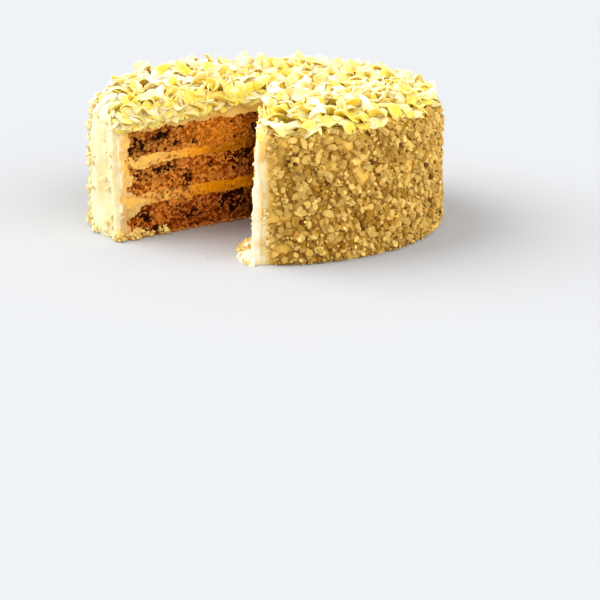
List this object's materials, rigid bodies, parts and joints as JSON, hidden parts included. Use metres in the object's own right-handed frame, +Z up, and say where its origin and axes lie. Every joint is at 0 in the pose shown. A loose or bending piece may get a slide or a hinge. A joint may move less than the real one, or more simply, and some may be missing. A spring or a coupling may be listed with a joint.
{
  "type": "sans rival cake",
  "caption": "Round layer cake with one slice cut out: nutty sponges and cream fillings in a cream coat, curled shavings on top, chopped nuts on the side.",
  "frame": {"origin": "middle of the round footprint, on the surface that the cake stands on", "axes": "+Z up along the cake's axis; the missing slice opens towards -Y and -X"},
  "size_m": [0.212, 0.2114, 0.0848],
  "materials": {
    "sponge": "matt, crumbly brown-gold sponge",
    "filling": "satin golden butter cream",
    "cream_and_nuts": "satin pale yellow cream, shavings and chopped nuts"
  },
  "bodies": {
    "root": {"sponge_bottom": "sponge", "filling_lower": "filling", "sponge_middle": "sponge", "filling_upper": "filling", "sponge_top": "sponge", "cream_coat": "cream_and_nuts"}
  },
  "joints": []
}
